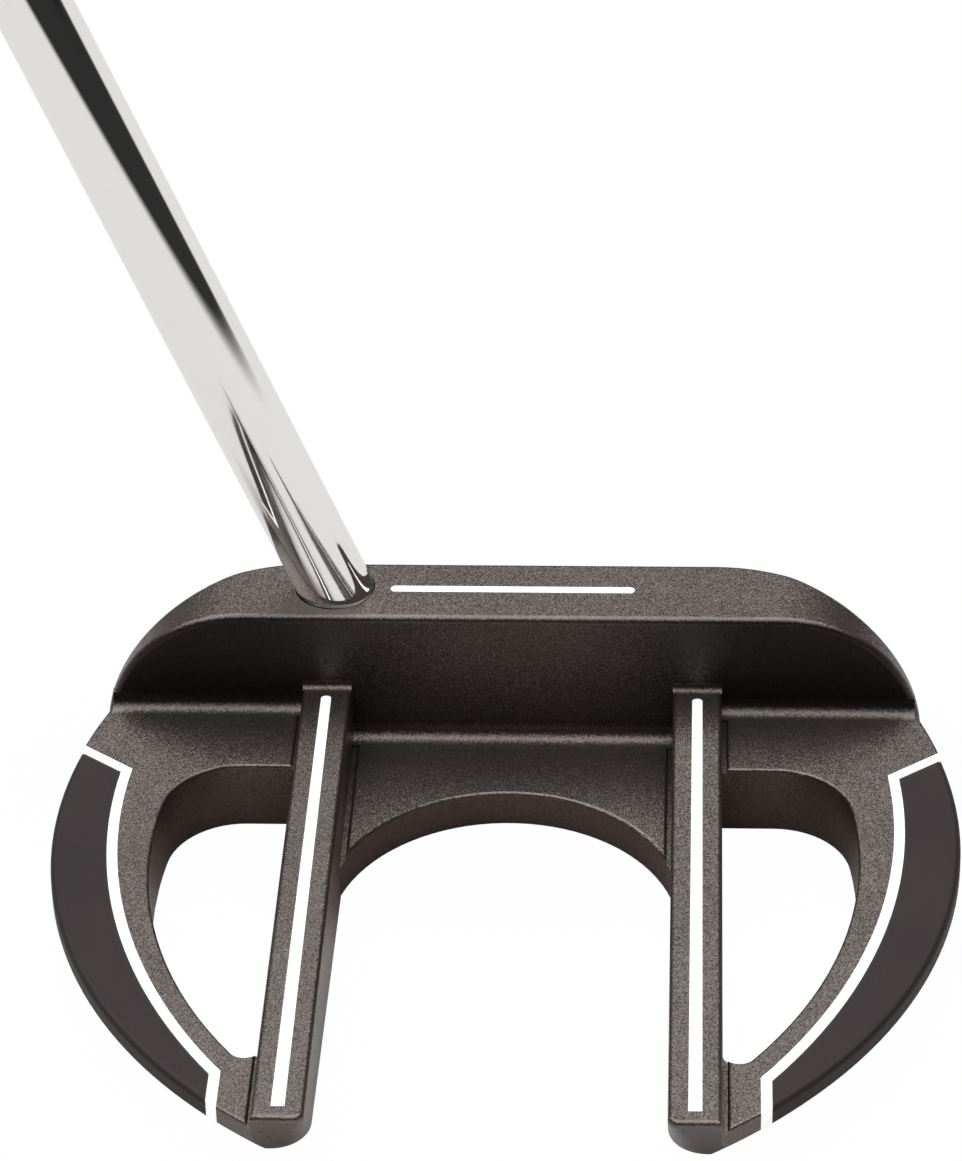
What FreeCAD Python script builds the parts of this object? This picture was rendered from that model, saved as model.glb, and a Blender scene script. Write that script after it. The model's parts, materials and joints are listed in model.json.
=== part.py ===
import FreeCAD, Part
import math
import operator
import os
from types import SimpleNamespace

import Sketcher
from FreeCAD import Placement, Rotation, Vector

# Mallet putter, right-handed: a cast head with two prongs, a weight pinned to each wing through a
# trim strip, three paint-filled sight lines, a stepped steel shaft bonded in a blind bore, and a
# rubber grip on tape with a butt cap.
#
# Frame: +X points to the toe, +Y to the target and +Z up. The sole rests on z = 0, the head is
# symmetric about x = 0, and the shaft's axis lies in the plane y = 0.
# Lengths are millimetres and angles are degrees.

# name: (value, what it measures)
DIMENSIONS = {
    # The front bar, which carries the face.
    "bar_top": (23.3, "height of the bar's top"),
    "bar_back": (-7.0, "y of the bar's back wall"),
    "bar_front": (5.5, "y of the face at the bar's top"),
    "loft": (3.0, "angle of the face from vertical"),
    "shoulder_start": (34.4, "half width of the bar's flat top"),
    "shoulder_radius": (18.0, "radius of the bar's shoulders"),
    "face_half_width": (26.0, "half width of the flat face"),
    "face_blend_radius": (22.0, "radius between the face and its end bevels"),
    "bevel_angle": (30.0, "sweep of the end bevels in plan"),
    # The deck, the prongs and their openings.
    "deck_top": (9.3, "height of the wings' deck"),
    "shelf_top": (4.8, "height of the shelf between the rails"),
    "wing_centre_x": (11.75, "distance of a wing's outline centre from the middle, on the other side"),
    "wing_centre_y": (-32.0, "y of a wing's outline centre"),
    "wing_radius": (68.0, "radius of a wing's outline"),
    "arch_centre_y": (-40.75, "y of the arch's centre"),
    "arch_radius": (21.6, "radius of the arch behind the shelf"),
    "rail_inner": (20.6, "x of a rail's inner side"),
    "rail_outer": (26.85, "x of a rail's outer side"),
    "rail_top": (12.5, "height of the rails"),
    "tail_back": (-90.4, "y of the prongs' back edge at the rails' top"),
    "tail_rake": (25.3, "angle of the prongs' back wall from vertical"),
    "tail_corner_top": (0.8, "radius of a prong's inner back corner at the rail's top"),
    "tail_corner_foot": (7.0, "radius of a prong's inner back corner at z = 0"),
    "window_front": (-19.8, "y of a wing window's front edge"),
    "window_centre_x": (18.6, "distance of the window's outer arc centre, on the other side"),
    "window_centre_y": (-36.7, "y of the window's outer arc centre"),
    "window_radius": (62.2, "radius of the window's outer edge"),
    "window_front_corner": (9.5, "radius of the window's front outer corner"),
    "window_back_corner": (1.95, "radius of the window's back corner"),
    # The underside.
    "undercut_start": (53.8, "distance of the undercut arc's centre from the outline's centre"),
    "undercut_height": (17.2, "height of the undercut arc's centre"),
    "undercut_radius": (17.5, "radius of the rounded underside"),
    "sole_end": (-35.0, "y where the flat sole ends"),
    "sole_rise": (5.5, "angle at which the sole rises to the back"),
    # Sight lines and rail feet.
    "line_depth": (0.5, "depth of the sight line grooves"),
    "paint_depth": (0.45, "thickness of the paint fill"),
    "front_line_y": (-0.4, "y of the front sight line"),
    "front_line_half": (15.9, "half length of the front sight line"),
    "front_line_width": (1.4, "width of the front sight line"),
    "rail_line_start": (-9.4, "y of a rail line's front end"),
    "rail_line_end": (-88.0, "y of a rail line's back end"),
    "rail_line_narrow": (1.3, "width of a rail line at its front end"),
    "rail_line_wide": (1.6, "width of a rail line at its back end"),
    "foot_width": (0.6, "width of the groove at a rail's foot"),
    "foot_depth": (0.5, "depth of the groove at a rail's foot"),
    "foot_start": (-9.2, "y where the grooves at the rails' feet start"),
    # Edges.
    "wall_fillet": (2.0, "fillet between the bar's wall and the deck"),
    "rail_root_fillet": (1.1, "fillet between the bar's wall and a rail"),
    "bar_edge": (0.85, "rounding of the bar's top edges"),
    "deck_edge": (0.4, "rounding of the deck's and the shelf's edges"),
    "rail_edge": (0.6, "rounding of the rails' top edges"),
    # Wing weights, their trim and their pins.
    "weight_top": (9.2, "height of a weight's top"),
    "weight_edge": (0.8, "rounding of a weight's outer edge"),
    "pin_radius": (1.0, "radius of a weight's dowel pins"),
    "pin_length": (6.4, "length of a dowel pin"),
    "pin_height": (6.2, "height of the dowel pins"),
    "front_pin_angle": (-7.0, "direction of the front pin, about the trim arc's centre"),
    "back_pin_angle": (-24.0, "direction of the back pin, about the trim arc's centre"),
    "trim_width": (1.3, "width of the trim strip"),
    "trim_centre_x": (31.2, "distance of the trim arc's centre, on the other side"),
    "trim_centre_y": (-29.5, "y of the trim arc's centre"),
    "trim_radius": (80.0, "radius of the trim's centre line"),
    "trim_corner_x": (48.0, "x of the trim's front inner corner"),
    "trim_corner_y": (-21.2, "y of the trim's front inner corner"),
    "trim_angle": (36.3, "angle of the trim's front leg from X"),
    "trim_back_x": (31.9, "x of the trim's back leg"),
    # Face grooves.
    "groove_width": (0.7, "width of a face groove"),
    "groove_depth": (0.25, "depth of a face groove"),
    "groove_half": (24.0, "half length of a face groove"),
    "groove_low": (4.6, "height of the lowest face groove"),
    "groove_span": (14.4, "height from the lowest groove to the highest"),
    "groove_count": (9, "number of face grooves"),
    # Shaft.
    "lie": (68.6, "angle of the shaft from the ground"),
    "shaft_x": (-22.8, "x of the shaft's axis at the bar's top"),
    "tip_radius": (4.7, "outer radius of the shaft's tip, 0.370 in across"),
    "butt_radius": (7.37, "outer radius of the shaft's butt, 0.580 in across"),
    "tube_wall": (0.5, "wall of the shaft"),
    "shaft_depth": (20.0, "length of the shaft inside the head"),
    "shaft_length": (855.0, "length of the shaft"),
    "step_start": (220.0, "distance of the first step from the tip"),
    "step_pitch": (32.0, "distance between steps"),
    "step_taper": (1.5, "length of each step's cone"),
    "step_count": (12, "number of steps"),
    "bond_gap": (0.12, "thickness of the epoxy round the shaft"),
    "bore_end_gap": (0.4, "clearance under the shaft's tip"),
    "mouth_radius": (5.15, "radius of the upright countersink at the bore's mouth"),
    "mouth_depth": (0.3, "depth of the countersink"),
    "mouth_y": (-0.1, "y of the countersink's centre, which keeps it off the face"),
    # Grip.
    "grip_start": (592.0, "distance of the grip's mouth from the shaft's tip"),
    "grip_length": (264.0, "length of the rubber grip"),
    "tape_film": (0.3, "thickness of the grip tape"),
    "grip_mouth_radius": (9.6, "radius of the grip at its mouth"),
    "grip_palm_radius": (13.4, "radius of the grip at its widest"),
    "grip_butt_radius": (14.6, "radius of the grip at its butt"),
    "grip_palm": (150.0, "distance of the widest part from the mouth"),
    "grip_flat": (0.74, "distance of the thumb flat from the axis, as a share of the radius"),
    "cap_height": (4.0, "height of the butt cap above the rubber"),
    "cap_edge": (1.6, "rounding of the butt cap"),
    "vent_radius": (1.2, "radius of the vent in the butt cap"),
}

TOE, HEEL = 1, -1
SIDES = ((TOE, "toe"), (HEEL, "heel"))
CLEAR = 12.0
EDGE_TOLERANCE = 0.02
SHORTEST_EDGE = 0.7
LINE_END = 0.55
FACE_CLEAR = 1.0
BOND_SHORT = 2.6
TAPE_SHORT = 3.0

doc = FreeCAD.newDocument("mallet_putter")


class Dim:
    """A number from the sheet, or worked out from it, with the formula that gives it."""

    def __init__(self, value, formula):
        self.value = value
        self.formula = formula

    def __add__(self, other):
        return combine(self, "+", other)

    def __radd__(self, other):
        return combine(other, "+", self)

    def __sub__(self, other):
        return combine(self, "-", other)

    def __rsub__(self, other):
        return combine(other, "-", self)

    def __mul__(self, other):
        return combine(self, "*", other)

    def __rmul__(self, other):
        return combine(other, "*", self)

    def __neg__(self):
        return combine(0, "-", self)


OPERATIONS = {"+": operator.add, "-": operator.sub, "*": operator.mul}


def as_dim(number):
    return number if isinstance(number, Dim) else Dim(number, f"{number}")


def combine(left, sign, right):
    """Joins two lengths with one of + - *, in value and in formula."""
    left, right = as_dim(left), as_dim(right)
    value = OPERATIONS[sign](left.value, right.value)
    return Dim(value, f"({left.formula} {sign} {right.formula})")


def square_root(length):
    return Dim(math.sqrt(length.value), f"sqrt({length.formula})")


def trig(name, angle):
    """Gives sin, cos or tan of an angle in degrees."""
    value = getattr(math, name)(math.radians(angle.value))
    return Dim(value, f"{name}({angle.formula} * 1 deg)")


def fill_sheet():
    """Writes the driving dimensions to the sheet and returns them as named lengths."""
    sheet = doc.addObject("Spreadsheet::Sheet", "dims")
    named = SimpleNamespace()
    for row, (name, (value, note)) in enumerate(DIMENSIONS.items(), start=1):
        sheet.set(f"A{row}", name)
        sheet.set(f"B{row}", f"{value}")
        sheet.set(f"C{row}", note)
        sheet.setAlias(f"B{row}", name)
        setattr(named, name, Dim(value, f"dims.{name}"))
    doc.recompute()
    return named


d = fill_sheet()


# ---- Sketches -------------------------------------------------------------------------------


def new_body(name):
    body = doc.addObject("PartDesign::Body", name)
    body.Label = name
    return body


def new_sketch(body, name, plane, lift=None):
    """Starts a sketch on one of the body's origin planes, lifted along the plane's normal."""
    sketch = body.newObject("Sketcher::SketchObject", name)
    support = next(f for f in body.Origin.OriginFeatures if f.Role == plane)
    sketch.AttachmentSupport = [(support, "")]
    sketch.MapMode = "FlatFace"
    if lift is not None:
        sketch.setExpression("AttachmentOffset.Base.z", as_dim(lift).formula)
    return sketch


def bind(sketch, constraint, length):
    """Adds a dimension to the sketch and ties it to the sheet."""
    at = sketch.addConstraint(constraint)
    sketch.setExpression(f"Constraints[{at}]", length.formula)


def hold(sketch, shape, end, spot):
    """Holds one point of a curve at spot, an x and a y."""
    for kind, axis, length in zip(("DistanceX", "DistanceY"), (-2, -1), spot):
        length = as_dim(length)
        if length.value == 0:
            sketch.addConstraint(Sketcher.Constraint("PointOnObject", shape, end, axis))
        else:
            bind(sketch, Sketcher.Constraint(kind, -1, 1, shape, end, length.value), length)


def arc_between(start, end, radius, turn):
    """Gives the arc from start to end, turning left (1) or right (-1) on its way."""
    middle = (start + end) * 0.5
    half = (end - start).Length / 2
    towards = Vector(0, 0, turn).cross(end - start).normalize()
    centre = middle + towards * math.sqrt(max(radius * radius - half * half, 0))
    first, last = (start, end) if turn > 0 else (end, start)
    angles = [math.atan2(p.y - centre.y, p.x - centre.x) for p in (first, last)]
    return Part.ArcOfCircle(Part.Circle(centre, Vector(0, 0, 1), radius), *angles)


def outline(sketch, steps):
    """Closes an outline through steps, each (x, y) or (x, y, radius, turn) where an arc leaves."""
    spots = [Vector(as_dim(s[0]).value, as_dim(s[1]).value, 0) for s in steps]
    ends = []
    for number, step in enumerate(steps):
        start, end = spots[number], spots[(number + 1) % len(steps)]
        if len(step) == 2:
            shape = sketch.addGeometry(Part.LineSegment(start, end))
            ends.append((shape, 1, 2))
        else:
            radius, turn = step[2], step[3]
            shape = sketch.addGeometry(arc_between(start, end, radius.value, turn))
            bind(sketch, Sketcher.Constraint("Radius", shape, radius.value), radius)
            ends.append((shape, 1, 2) if turn > 0 else (shape, 2, 1))
    for number, (shape, first, _) in enumerate(ends):
        before, _, last = ends[number - 1]
        sketch.addConstraint(Sketcher.Constraint("Coincident", before, last, shape, first))
        hold(sketch, shape, first, steps[number][:2])


def rectangle(sketch, left, right, low, high):
    outline(sketch, [(left, low), (right, low), (right, high), (left, high)])


# ---- Features -------------------------------------------------------------------------------


def extrude(body, kind, name, sketch, length, reverse=False, symmetric=False):
    """Adds a Pad along the sketch's normal, or a Pocket against it."""
    feature = body.newObject(f"PartDesign::{kind}", name)
    feature.Profile = sketch
    feature.setExpression("Length", as_dim(length).formula)
    feature.Reversed = reverse
    if symmetric:
        feature.SideType = "Symmetric"
    return finish(body, feature)


def turn_about(body, kind, name, sketch, axis):
    """Adds a full Revolution or Groove about one of the sketch's own axes."""
    feature = body.newObject(f"PartDesign::{kind}", name)
    feature.Profile = sketch
    feature.ReferenceAxis = (sketch, [axis])
    feature.Angle = 360
    return finish(body, feature)


def round_edges(body, name, radius, picks):
    """Fillets the body's edges whose points between their ends all pass the test picks."""
    tip = body.Tip
    names = [f"Edge{i}" for i, e in enumerate(tip.Shape.Edges, start=1) if passes(e, picks)]
    if not names:
        raise RuntimeError(f"{name} finds no edge")
    feature = body.newObject("PartDesign::Fillet", name)
    feature.Base = (tip, names)
    feature.setExpression("Radius", radius.formula)
    return finish(body, feature)


def round_uprights(body, name, radius, x, y):
    """Fillets the two upright edges that stand at x, y on either side of the head."""
    return round_edges(body, name, radius, lambda p: near(abs(p.x), x) and near(p.y, y))


def passes(edge, picks):
    """Tests an edge by the points between its ends; the very short edges never pass."""
    return edge.Length > SHORTEST_EDGE and all(picks(p) for p in edge.discretize(7)[1:-1])


def near(value, length):
    return abs(value - as_dim(length).value) < EDGE_TOLERANCE


def finish(body, feature):
    """Recomputes the feature and checks that it changed a valid solid."""
    before = feature.BaseFeature.Shape.Volume if feature.BaseFeature else 0.0
    doc.recompute()
    if {"Invalid", "Error"} & set(feature.State) or not feature.Shape.isValid():
        raise RuntimeError(f"{feature.Name} failed: {feature.State}")
    if math.isclose(before, feature.Shape.Volume, rel_tol=1e-9):
        raise RuntimeError(f"{feature.Name} changed nothing")
    body.Tip = feature
    return feature


def drill(body, name, kind, place, **sizes):
    """Cuts a Cylinder or a Cone out of the body; its own Z runs along the hole."""
    feature = body.newObject(f"PartDesign::Subtractive{kind}", name)
    for size, length in sizes.items():
        feature.setExpression(size, as_dim(length).formula)
    feature.Placement = place
    return finish(body, feature)


def tube(name, outer, inner, length, place):
    """Cuts one cylinder out of another, both on the part's own Z."""
    solid = doc.addObject("Part::Cylinder", f"{name}_outside")
    hollow = doc.addObject("Part::Cylinder", f"{name}_inside")
    for part, radius in ((solid, outer), (hollow, inner)):
        part.setExpression("Radius", radius.formula)
        part.setExpression("Height", length.formula)
    cut = doc.addObject("Part::Cut", name)
    cut.Label = name
    cut.Base = solid
    cut.Tool = hollow
    cut.Placement = place
    doc.recompute()
    return cut


# ---- Outlines shared by the head and the pieces let into it --------------------------------


def across(side, centre):
    """Gives the x of an arc's centre that lies on the other side of the middle."""
    return -side * centre


def ray_to_arc(start, way, centre, radius):
    """Gives the point where a ray from start meets a circle."""
    gap_x, gap_y = start[0] - centre[0], start[1] - centre[1]
    along = gap_x * way[0] + gap_y * way[1]
    reach = square_root(along * along - (gap_x * gap_x + gap_y * gap_y - radius * radius)) - along
    return start[0] + reach * way[0], start[1] + reach * way[1]


def trim_path(inset, wall_radius):
    """Gives the four points of the toe side's trim path, moved outwards by inset.

    The first and the last lie on the outline circle of wall_radius, the others are its corners.
    """
    arc_centre = (across(TOE, d.trim_centre_x), d.trim_centre_y)
    wall_centre = (across(TOE, d.wing_centre_x), d.wing_centre_y)
    way = (trig("cos", d.trim_angle), trig("sin", d.trim_angle))
    start = (d.trim_corner_x + inset * way[1], d.trim_corner_y - inset * way[0])
    back_x = d.trim_back_x + inset
    backwards = (as_dim(0), as_dim(-1))
    middle = (back_x, d.trim_centre_y)
    return [
        ray_to_arc(start, way, wall_centre, wall_radius),
        ray_to_arc(start, way, arc_centre, d.trim_radius + inset),
        ray_to_arc(middle, backwards, arc_centre, d.trim_radius + inset),
        ray_to_arc(middle, backwards, wall_centre, wall_radius),
    ]


def mirrored(side, steps):
    """Gives the steps for one side of the head, from those of the toe side."""
    flipped = []
    for step in steps:
        x, y, *arc = step
        flipped.append((side * x, y, *([arc[0], side * arc[1]] if arc else [])))
    return flipped


def undercut(body, side):
    """Turns away the rounded underside of one wing, about the centre of its outline."""
    label = "toe" if side == TOE else "heel"
    sketch = new_sketch(body, f"{body.Name}_{label}_undercut_profile", "XZ_Plane", -d.wing_centre_y)
    centre_x = across(side, d.wing_centre_x)
    low = d.undercut_height - d.undercut_radius
    run = d.wing_radius - d.undercut_start
    wall_foot = d.undercut_height - square_root(d.undercut_radius * d.undercut_radius - run * run)
    inner = centre_x + side * d.undercut_start
    wall = centre_x + side * d.wing_radius
    outer = wall + side * CLEAR
    outline(sketch, [
        (inner, low, d.undercut_radius, side),
        (wall, wall_foot),
        (outer, wall_foot),
        (outer, low - CLEAR),
        (inner, low - CLEAR),
    ])
    axis = sketch.addGeometry(Part.LineSegment(
        Vector(centre_x.value, 0, 0), Vector(centre_x.value, CLEAR, 0)), True)
    hold(sketch, axis, 1, (centre_x, 0))
    hold(sketch, axis, 2, (centre_x, CLEAR))
    return turn_about(body, "Groove", f"{body.Name}_{label}_undercut", sketch, "Axis0")


# ---- Head -----------------------------------------------------------------------------------


def both_sides(sketch, steps):
    """Draws an outline of the toe side and its mirror image."""
    for side in (TOE, HEEL):
        outline(sketch, mirrored(side, steps))


def rim_x(y):
    """Gives the x of the toe wing's outline at y."""
    reach = y - d.wing_centre_y
    return across(TOE, d.wing_centre_x) + square_root(d.wing_radius * d.wing_radius - reach * reach)


def add_bar(body):
    """Pads the front bar, cuts its round shoulders and its lofted face, and softens its edges."""
    end = d.shoulder_start + d.shoulder_radius
    far_x = end + 2 * CLEAR
    bar = new_sketch(body, "bar_plan", "XY_Plane")
    rectangle(bar, -end, end, d.bar_back, d.bar_front + CLEAR)
    extrude(body, "Pad", "bar", bar, d.bar_top)

    shoulders = new_sketch(body, "shoulder_profile", "XZ_Plane", -d.bar_front - 2 * CLEAR)
    both_sides(shoulders, [
        (d.shoulder_start, d.bar_top, d.shoulder_radius, -1),
        (end, d.bar_top - d.shoulder_radius),
        (far_x, d.bar_top - d.shoulder_radius),
        (far_x, d.bar_top + CLEAR),
        (d.shoulder_start, d.bar_top + CLEAR),
    ])
    extrude(body, "Pocket", "shoulders", shoulders, 4 * CLEAR, reverse=True)

    plan = new_sketch(body, "face_plan", "XY_Plane")
    plan.AttachmentOffset = Placement(Vector(), Rotation(Vector(1, 0, 0), d.loft.value))
    plan.setExpression("AttachmentOffset.Rotation.Angle", d.loft.formula)
    plan.setExpression("AttachmentOffset.Base.z", d.bar_top.formula)
    far_y = d.bar_front + 2 * CLEAR
    sweep_x = d.face_half_width + d.face_blend_radius * trig("sin", d.bevel_angle)
    sweep_y = d.bar_front - d.face_blend_radius * (1 - trig("cos", d.bevel_angle))
    bevel_y = sweep_y - (far_x - sweep_x) * trig("tan", d.bevel_angle)
    outline(plan, [
        (-far_x, far_y),
        (-far_x, bevel_y),
        (-sweep_x, sweep_y, d.face_blend_radius, -1),
        (-d.face_half_width, d.bar_front),
        (d.face_half_width, d.bar_front, d.face_blend_radius, -1),
        (sweep_x, sweep_y),
        (far_x, bevel_y),
        (far_x, far_y),
    ])
    extrude(body, "Pocket", "face", plan, 5 * CLEAR, symmetric=True)

    def on_top(p):
        over = max(abs(p.x) - d.shoulder_start.value, 0)
        height = math.sqrt(max(d.shoulder_radius.value ** 2 - over ** 2, 0))
        return near(p.z, d.bar_top - d.shoulder_radius + height)

    round_edges(body, "bar_top_edges", d.bar_edge, on_top_edge(on_top))


def on_top_edge(on_top):
    """Accepts the long edges of the bar's top, and not the lines that cross it."""
    return lambda p: on_top(p) and (near(p.y, d.bar_back) or p.y > d.bar_back.value + 1)


def add_prongs(body):
    """Pads the wings with their windows, the rails, and the shelf between them."""
    buried = d.bar_back + 2
    wings = new_sketch(body, "wing_plan", "XY_Plane")
    both_sides(wings, [
        (d.rail_inner, d.tail_back),
        (rim_x(d.tail_back), d.tail_back, d.wing_radius, 1),
        (rim_x(buried), buried),
        (d.rail_inner, buried),
    ])
    extrude(body, "Pad", "wings", wings, d.deck_top)
    add_windows(body)

    rails = new_sketch(body, "rail_plan", "XY_Plane")
    both_sides(rails, [
        (d.rail_inner, d.tail_back),
        (d.rail_outer, d.tail_back),
        (d.rail_outer, buried),
        (d.rail_inner, buried),
    ])
    extrude(body, "Pad", "rails", rails, d.rail_top)

    shelf = new_sketch(body, "shelf_plan", "XY_Plane")
    arch_y = d.arch_centre_y + square_root(
        d.arch_radius * d.arch_radius - d.rail_inner * d.rail_inner)
    outline(shelf, [
        (-d.rail_inner, buried),
        (-d.rail_inner, arch_y, d.arch_radius, -1),
        (d.rail_inner, arch_y),
        (d.rail_inner, buried),
    ])
    extrude(body, "Pad", "shelf", shelf, d.shelf_top)


def add_coves(body):
    """Pads the coves where the bar's back wall meets the shelf, the wings and the rails."""
    end = rim_x(d.bar_back)
    add_cove(body, "shelf_cove", d.shelf_top, d.wall_fillet, -d.rail_inner, 2 * d.rail_inner)
    for side, label in SIDES:
        deck_start = d.rail_inner if side == TOE else -end
        rail_start = d.rail_inner if side == TOE else -d.rail_outer
        add_cove(body, f"{label}_deck_cove", d.deck_top, d.wall_fillet,
                 deck_start, end - d.rail_inner)
        add_cove(body, f"{label}_rail_cove", d.rail_top, d.rail_root_fillet,
                 rail_start, d.rail_outer - d.rail_inner)


def add_cove(body, name, level, radius, start_x, width):
    """Pads the concave fillet between the bar's back wall and a level behind it."""
    sketch = new_sketch(body, f"{name}_profile", "YZ_Plane", start_x)
    outline(sketch, [
        (d.bar_back + 1, level - 1),
        (d.bar_back + 1, level + radius),
        (d.bar_back, level + radius, radius, -1),
        (d.bar_back - radius, level),
        (d.bar_back - radius, level - 1),
    ])
    extrude(body, "Pad", name, sketch, width)


def add_windows(body):
    """Cuts the D-shaped window of each wing and rounds its corners."""
    centre_x, centre_y = across(TOE, d.window_centre_x), d.window_centre_y
    square = d.window_radius * d.window_radius
    reach = d.window_front - centre_y
    side_reach = d.rail_outer - centre_x
    front_x = centre_x + square_root(square - reach * reach)
    back_y = centre_y - square_root(square - side_reach * side_reach)
    windows = new_sketch(body, "window_plan", "XY_Plane", d.deck_top)
    both_sides(windows, [
        (d.rail_outer, d.window_front),
        (front_x, d.window_front, d.window_radius, -1),
        (d.rail_outer, back_y),
    ])
    extrude(body, "Pocket", "windows", windows, d.deck_top)
    round_uprights(body, "window_front_corners", d.window_front_corner, front_x, d.window_front)
    round_uprights(body, "window_back_corners", d.window_back_corner, d.rail_outer, back_y)


def shape_underside(body):
    """Rounds the wings underneath, lifts the sole to the back and rakes the prongs' ends."""
    far_y = d.tail_back - CLEAR
    for side in (TOE, HEEL):
        undercut(body, side)
    cut_sole_ramp(body)

    rake = new_sketch(body, "tail_rake_profile", "YZ_Plane")
    lean = trig("tan", d.tail_rake)
    outline(rake, [
        (d.tail_back - lean, d.rail_top + 1),
        (far_y, d.rail_top + 1),
        (far_y, -CLEAR),
        (d.tail_back + (d.rail_top + CLEAR) * lean, -CLEAR),
    ])
    extrude(body, "Pocket", "tail_rake", rake, 2 * d.wing_radius, symmetric=True)
    for side, label in SIDES:
        round_tail(body, side, label)


def round_tail(body, side, label):
    """Rounds a prong's inner back corner, by a radius that grows towards the sole."""
    sections = []
    high = d.rail_top + 1
    for end, level in (("top", high), ("foot", as_dim(0))):
        drop = d.rail_top - level
        growth = (d.tail_corner_foot - d.tail_corner_top) * (1 / d.rail_top.value)
        radius = d.tail_corner_top + drop * growth
        back_y = d.tail_back + drop * trig("tan", d.tail_rake)
        sketch = new_sketch(body, f"{label}_tail_corner_{end}", "XY_Plane", level)
        outline(sketch, mirrored(side, [
            (d.rail_inner, back_y + radius, radius, 1),
            (d.rail_inner + radius, back_y),
            (d.rail_inner + radius, back_y - 1),
            (d.rail_inner - 1, back_y - 1),
            (d.rail_inner - 1, back_y + radius),
        ]))
        sections.append(sketch)
    loft = body.newObject("PartDesign::SubtractiveLoft", f"{label}_tail_corner")
    loft.Profile = sections[0]
    loft.Sections = sections[1:]
    loft.Ruled = True
    finish(body, loft)


def cut_sole_ramp(body):
    """Lifts the sole towards the back."""
    far_y = d.tail_back - CLEAR
    ramp = new_sketch(body, f"{body.Name}_sole_ramp_profile", "YZ_Plane")
    outline(ramp, [
        (d.sole_end, 0),
        (far_y, (d.sole_end - far_y) * trig("tan", d.sole_rise)),
        (far_y, -CLEAR),
        (d.sole_end, -CLEAR),
    ])
    extrude(body, "Pocket", f"{body.Name}_sole_ramp", ramp, 2 * d.wing_radius, symmetric=True)


def cut_rail_feet(body):
    """Cuts the narrow grooves along both sides of each rail, in the deck and in the shelf."""
    for name, level, inner in (
        ("deck", d.deck_top, d.rail_outer),
        ("shelf", d.shelf_top, d.rail_inner - d.foot_width),
    ):
        feet = new_sketch(body, f"{name}_feet_plan", "XY_Plane", level)
        both_sides(feet, [
            (inner, d.foot_start),
            (inner, d.tail_back - CLEAR),
            (inner + d.foot_width, d.tail_back - CLEAR),
            (inner + d.foot_width, d.foot_start),
        ])
        extrude(body, "Pocket", f"{name}_feet", feet, d.foot_depth)


def soften_edges(body):
    """Rounds the edges of the deck, the shelf and the rails."""

    def level(height):
        return lambda p: near(p.z, height) and p.y < d.foot_start.value

    round_edges(body, "deck_edges", d.deck_edge, level(d.deck_top))
    round_edges(body, "shelf_edges", d.deck_edge, level(d.shelf_top))
    round_edges(body, "rail_edges", d.rail_edge, level(d.rail_top))


def cut_sight_lines(body):
    """Cuts the grooves that hold the paint of the three sight lines."""
    plan = new_sketch(body, "front_line_plan", "XY_Plane", d.bar_top)
    outline(plan, front_line())
    extrude(body, "Pocket", "front_line_groove", plan, d.line_depth)
    plan = new_sketch(body, "rail_line_plan", "XY_Plane", d.rail_top)
    both_sides(plan, rail_line())
    extrude(body, "Pocket", "rail_line_grooves", plan, d.line_depth)


def front_line():
    """Gives the outline of the bar's sight line, rounded at both ends."""
    half_width = 0.5 * d.front_line_width
    half = d.front_line_half - half_width
    low, high = d.front_line_y - half_width, d.front_line_y + half_width
    bulge = LINE_END * d.front_line_width
    return [(-half, low), (half, low, bulge, 1), (half, high), (-half, high, bulge, 1)]


def rail_line():
    """Gives the outline of the toe rail's sight line, which widens towards the back."""
    middle = 0.5 * (d.rail_inner + d.rail_outer)
    narrow, wide = 0.5 * d.rail_line_narrow, 0.5 * d.rail_line_wide
    return [
        (middle - wide, d.rail_line_end),
        (middle + wide, d.rail_line_end),
        (middle + narrow, d.rail_line_start, LINE_END * d.rail_line_narrow, 1),
        (middle - narrow, d.rail_line_start),
    ]


def cut_wing_recesses(body):
    """Cuts the outer part of each wing away, where the trim and the weight go."""
    recess = new_sketch(body, "recess_plan", "XY_Plane", d.deck_top)
    front, front_corner, back_corner, back = trim_path(-0.5 * d.trim_width, d.wing_radius + CLEAR)
    far_x = d.wing_radius + CLEAR
    both_sides(recess, [
        front,
        (*front_corner, d.trim_radius - 0.5 * d.trim_width, -1),
        back_corner,
        back,
        (far_x, back[1]),
        (far_x, front[1]),
    ])
    extrude(body, "Pocket", "wing_recesses", recess, d.deck_top)


def pin_place(side, angle):
    """Gives the place of a dowel pin; its Z runs outwards, square to the trim."""
    turn = math.radians(angle.value)
    outwards = Vector(side * math.cos(turn), math.sin(turn), 0)
    centre = Vector(across(side, d.trim_centre_x).value, d.trim_centre_y.value, d.pin_height.value)
    start = centre + outwards * (d.trim_radius.value - d.pin_length.value / 2)
    return Placement(start, Rotation(Vector(0, 0, 1), outwards))


def drill_for_pins(body, sides):
    for side, label in sides:
        for end, angle in (("front", d.front_pin_angle), ("back", d.back_pin_angle)):
            drill(body, f"{body.Name}_{label}_{end}_pin_hole", "Cylinder", pin_place(side, angle),
                  Radius=d.pin_radius, Height=d.pin_length)


def shaft_place(distance):
    """Gives the place of a piece on the shaft's axis, at a distance from the shaft's tip."""
    lean = 90 - d.lie.value
    turn = Rotation(Vector(0, 1, 0), -lean)
    mouth = Vector(d.shaft_x.value, 0, d.bar_top.value)
    return Placement(mouth + turn * Vector(0, 0, distance - d.shaft_depth.value), turn)


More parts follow.
